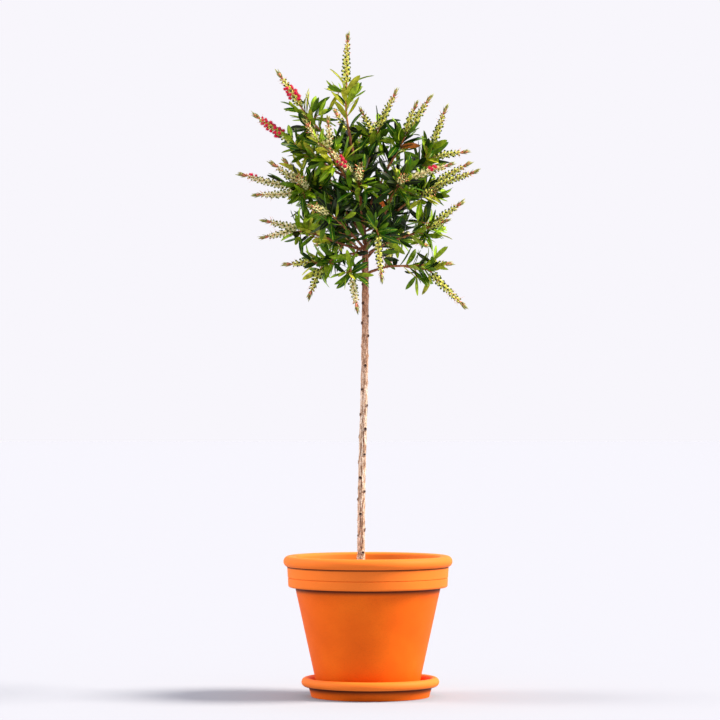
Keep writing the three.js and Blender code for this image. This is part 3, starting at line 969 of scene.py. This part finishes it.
def stand_leaf(tint, place, onward, turn, spread, size):
    """Adds one leaf that leaves a twig sideways at an angle, upper face towards the twig's tip."""
    side = sideways(onward, turn)
    heading = onward * cos(spread) + side * sin(spread) + UP * 0.14
    face = onward + UP * 0.35
    face.rotate(Quaternion(heading.normalized(), radians(chance.uniform(-55, 55))))
    shape = chance.choice((0, 0, 1, 1, 2, 3))
    if chance.random() < 0.5:
        place_in_order = TINT_ORDER.index(tint) + chance.choice((-1, 1))
        tint = TINT_ORDER[min(max(place_in_order, 0), 3)]
    if chance.random() < DRY_SHARE:
        tint = "dry"
    reach = heading.normalized() * LEAF_LENGTH * size
    if min(rod_points.find(place + reach * share)[2] for share in (0.5, 0.75, 1)) > CLEARANCE:
        leaf_places[tint].append((shape, pose(place + side * 0.8 * MM, heading, face, size)))


for path, first, spacing, size, tint, end_tuft in sprays:
    length = length_of(path)
    gone = first * length + chance.uniform(0, spacing)
    turn = chance.uniform(0, 2 * pi)
    while gone < length - 1 * MM:
        place, onward = along(path, gone / length)
        grown = size * chance.uniform(0.78, 1.08)
        spread = radians(chance.uniform(36, 68))
        stand_leaf(tint, place, onward, turn, spread, grown)
        turn += GOLDEN + chance.uniform(-0.3, 0.3)
        gone += spacing * chance.uniform(0.75, 1.25)
    if end_tuft:
        place, onward = along(path, 0.98)
        for k in range(3):
            grown = size * chance.uniform(0.66, 0.95)
            spread = radians(chance.uniform(12, 34))
            stand_leaf(tint, place, onward, turn + k * GOLDEN, spread, grown)

for tint, (upper, under, rib, roughness) in LEAF_TINTS.items():
    mats = [
        leaf_skin(f"leaf_leathery_{tint}", upper, roughness),
        leaf_skin(f"leaf_underside_{tint}", under, 0.55),
        leaf_skin(f"leaf_midrib_{tint}", rib, 0.5),
    ]
    piece = join_copies(f"leaves_{tint}", leaf_shapes, leaf_places[tint], mats)
    pick(piece)
    bpy.ops.object.shade_smooth_by_angle(angle=radians(60))
    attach(piece, "root")
discard(leaf_shapes)
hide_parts(*[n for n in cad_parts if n.startswith("foliage_")])


# ---- Flower spikes ----
# Each spike is a rod set all round with stalkless flower buds in slanting rows, each a pale cup
# with a dark round cap.  On five spikes some have opened into a crimson ball of stamens.
BUD_PITCH = 1.5 * MM  # along the rod from one bud to the next
BUD_LENGTH = 8.4 * MM
CUP, CAP = 0, 1


def flower_bud(name, sides, girth, cap_share):
    """A bud along +Y: a cup that swells from its stalkless foot, then a domed cap."""
    shape = [(0.35, 0), (0.8, 0.16), (1, 0.38), (0.92, 0.6), (0.98, 0.7), (0.82, 0.88), (0.4, 0.99)]
    bud = turned(name, [(radius * girth, height * BUD_LENGTH) for radius, height in shape], sides)
    for face in bud.data.polygons:
        face.material_index = CAP if face.center.z > cap_share * BUD_LENGTH else CUP
    return lay_down(bud)


def lay_down(piece):
    """Turns a piece made upwards so that it points along +Y."""
    for corner in piece.data.vertices:
        x, y, z = corner.co
        corner.co = (x, z, -y)
    return piece


def stamen_ball(name, radius, threads):
    """An opening flower: a rough crimson knot and straight threads, drawn thick to show."""
    ball = start_piece(name, bpy.ops.mesh.primitive_ico_sphere_add, subdivisions=2, radius=radius * 0.72)
    for corner in ball.data.vertices:
        corner.co *= 1 + 0.22 * noise.noise(corner.co / (1.1 * MM))
    grown = bmesh.new()
    grown.from_mesh(ball.data)
    lot = random.Random(5)
    for k in range(threads):
        way = way_at(1 - 1.7 * (k + 0.5) / threads, k * GOLDEN)
        side = way.orthogonal().normalized() * 0.28 * MM
        foot, tip = way * radius * 0.6, way * radius * lot.uniform(1.02, 1.3)
        ends = (foot + side, foot - side, foot + way.cross(side), tip)
        a, b, c, top = (grown.verts.new(end) for end in ends)
        for face in ((a, b, top), (b, c, top), (c, a, top), (c, b, a)):
            grown.faces.new(face)
    bmesh.ops.recalc_face_normals(grown, faces=grown.faces)
    grown.to_mesh(ball.data)
    grown.free()
    for corner in ball.data.vertices:
        corner.co.z += BUD_LENGTH * 0.9
    return lay_down(ball)


def narrow_blade(name, length, width, bend_up, change):
    """A small pointed leaf or bract along +Y; its foot is slot 0 and the rest is slot 1."""
    blade = start_piece(name, bpy.ops.mesh.primitive_cone_add, 1, vertices=4, radius1=1, radius2=0, depth=2)
    for cut in (0.7, 1.4):
        edit_all()
        bpy.ops.mesh.bisect(plane_co=(0, 0, cut), plane_no=(0, 0, 1))
    leave_edit()
    bpy.ops.object.transform_apply(location=True, rotation=True, scale=True)
    for corner in blade.data.vertices:
        x, y, share = corner.co.x, corner.co.y, corner.co.z / 2
        taper = 1 - share
        swell = 0 if taper < 0.02 else sin(pi * (0.22 + 0.78 * share)) / taper
        corner.co.x = x * width / 2 * swell
        corner.co.y = y * width / 7 * swell - bend_up * length * share**2
        corner.co.z = share * length
    for face in blade.data.polygons:
        face.material_index = 1 if face.center.z > change * length else 0
    return lay_down(blade)


def soft_skin(name, colour, roughness):
    """Downy skin of a bud, a bract or a young leaf: matte, its fine hairs drawn coarse to show."""
    return plant_skin(name, colour, roughness, 4 * MM, 0.8 * MM, 0.3)


OPEN_FLOWERS = {
    # mass: (which of its spikes, counted by reach; first and last share of the rod; side; count)
    "left_high": (0, 0.25, 0.95, None, 26),
    "upper_left": (0, 0.12, 0.66, None, 16),
    "left_middle": (0, 0.72, 0.95, (0.2, -0.4, 0.9), 3),
    "front_right": (0, 0.55, 0.8, (-0.4, -0.6, 0.8), 5),
    "front_middle": (1, 0.34, 0.7, (0.9, -0.5, 0.1), 8),
}
TIP_LEAVES = 11  # in the tuft that ends each spike
TIP_LEAF = 18 * MM
CREAM_SPIKES = ("front_right", "front_middle", "front_upper_left", "left_low", "left_middle")
chance = random.Random(12)
buds = {"green": [], "cream": []}
stamens, bracts, tufts, rods = [], [], [], []
bud_shapes = [
    flower_bud("bud_plump", 7, 2.4 * MM, 0.68),
    flower_bud("bud_slim", 7, 2.05 * MM, 0.72),
]
for mass in sorted({spike[0] for spike in spikes}):
    own = [spike for spike in spikes if spike[0] == mass]
    own.sort(key=lambda spike: -length_of(spike[1]))
    for rank, (_, rod, point) in enumerate(own):
        length = length_of(rod)
        rods.append((rod + [rod[-1].lerp(point, 0.35)], 1.25 * MM, 0.7 * MM))
        kind = "cream" if mass in CREAM_SPIKES or chance.random() < 0.12 else "green"
        turn = chance.uniform(0, 2 * pi)
        opening = OPEN_FLOWERS.get(mass, (None,))
        count = int(length / BUD_PITCH)
        ready = []
        for k in range(count):
            share = (k + 0.5) / count
            place, onward = along(rod, share)
            side = sideways(onward, turn)
            turn += GOLDEN + chance.uniform(-0.12, 0.12)
            size = (1.08 - 0.38 * share**2) * chance.uniform(0.9, 1.08)
            lean = 0.25 + 0.55 * share**2
            way = (side + onward * lean).normalized()
            foot = place + side * 0.6 * MM
            buds[kind].append((chance.choice((0, 0, 1)), pose(foot, way, onward, size)))
            if opening[0] == rank and opening[1] < share < opening[2]:
                sunny = opening[3]
                ripe = side.dot(Vector(sunny).normalized()) if sunny else chance.uniform(0, 1)
                ready.append((ripe, k, pose(foot, way, onward, size * chance.uniform(0.9, 1.1))))
            if share > 0.62 or chance.random() < 0.16:
                tilt = (side + onward * chance.uniform(0.3, 1.1)).normalized()
                bracts.append((0, pose(place + side * 3 * MM, tilt, onward, chance.uniform(0.9, 1.5))))
        ready.sort(key=lambda item: -item[0])
        stamens += [(0, matrix) for _, _, matrix in ready[: opening[4]]] if ready else []
        base, onward = rod[-1], (point - rod[-1]).normalized()
        full = (point - base).length
        for k in range(TIP_LEAVES):
            side = sideways(onward, turn + k * GOLDEN)
            rise = k / TIP_LEAVES
            way = onward + side * (0.62 - 0.4 * rise)
            size = (0.72 + 0.28 * rise) * full * 0.84 / TIP_LEAF
            tufts.append((k % 2, pose(base + onward * full * 0.26 * rise, way, side, size)))

flower_parts = [
    ("flower_buds_green", bud_shapes, buds["green"],
     [("flower_cup_green", "#d6da6a", 0.6), ("flower_cap_dark_green", "#30400a", 0.5)]),
    ("flower_buds_cream", bud_shapes, buds["cream"],
     [("flower_cup_cream", "#f2eaae", 0.65), ("flower_cap_olive", "#5a641c", 0.5)]),
    ("stamens_crimson", [stamen_ball("stamen_ball", 4.4 * MM, 46)], stamens,
     [("stamens_crimson_silky", "#cc0640", 0.5)]),
    ("bracts", [narrow_blade("bract", 8 * MM, 1.2 * MM, 0.1, 0.6)], bracts,
     [("bract_papery_pink", "#f09c74", 0.7), ("bract_papery_tan", "#d67c46", 0.7)]),
    ("tip_leaves",
     [narrow_blade("tip_leaf_upright", TIP_LEAF, 4.8 * MM, -0.1, 0.5),
      narrow_blade("tip_leaf_curved", 16 * MM, 4.4 * MM, -0.22, 0.7)], tufts,
     [("tip_leaf_downy_pink", "#cc7c5e", 0.65), ("tip_leaf_downy_green", "#8a8c48", 0.6)]),
]
for name, shapes, places, skins in flower_parts:
    piece = join_copies(name, shapes, places, [soft_skin(*each) for each in skins])
    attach(piece, "root")
discard(bud_shapes + [shape for _, shapes, _, _ in flower_parts[2:] for shape in shapes])

rod_wood = tubes(
    "flower_rods", rods, 6,
    young_wood("flower_rod_downy", [(0.3, "#a05a2c"), (0.5, "#c08248"), (0.7, "#d8b07a")]),
)
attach(rod_wood, "root")


# ---- Stage ----
# A pale matt floor under a bright even sky, a little dimmer in front of the plant than behind
# it.  A strong soft light comes from high on the right, and a weaker one from the left.
floor = start_piece("pale_floor", bpy.ops.mesh.primitive_plane_add, size=60)
paint, tree, shader, _ = material("matt_white_backdrop_paint")
node(tree, shader, inputs={"Base Color": linear("#a0a5b1"), "Roughness": 1, "Specular IOR Level": 0})
floor.data.materials.append(paint)

world = bpy.data.worlds.new("soft_studio_sky")
bpy.context.scene.world = world
world.use_nodes = True
air = world.node_tree
way = node(air, "TexCoord").outputs["Generated"]
depth = node(air, "SeparateXYZ", links={"Vector": way}).outputs["Y"]
glow = node(
    air, "MapRange", {"interpolation_type": "SMOOTHSTEP"},
    {"From Min": -0.95, "From Max": 0.35, "To Min": 0.86, "To Max": 1.0}, {"Value": depth},
)
node(air, air.nodes["Background"], inputs={"Color": linear("#f8f6fc")}, links={"Strength": glow})
for name, towards, strength in (
    ("key_light_right", (-0.74, 0.04, -0.66), 6.8),
    ("fill_light_left", (0.84, -0.05, -0.54), 2.0),
):
    lamp = bpy.data.lights.new(name, "SUN")
    lamp.angle = radians(25)
    lamp.energy = strength
    lamp.color = linear("#fff2e0")[:3]
    light = bpy.data.objects.new(name, lamp)
    light.rotation_euler = Vector(towards).to_track_quat("-Z", "Y").to_euler()
    bpy.context.scene.collection.objects.link(light)

view = bpy.data.cameras.new("camera")
view.lens = 173.8
view.sensor_width = 36
camera = bpy.data.objects.new("camera", view)
bpy.context.scene.collection.objects.link(camera)
camera_across = -0.0193
camera.location = (camera_across, -6.5, 0.58)
aim = Vector((camera_across, 0, 0.6287))
camera.rotation_euler = (aim - camera.location).to_track_quat("-Z", "Y").to_euler()
bpy.context.scene.camera = camera
bpy.context.scene.view_settings.view_transform = "Standard"
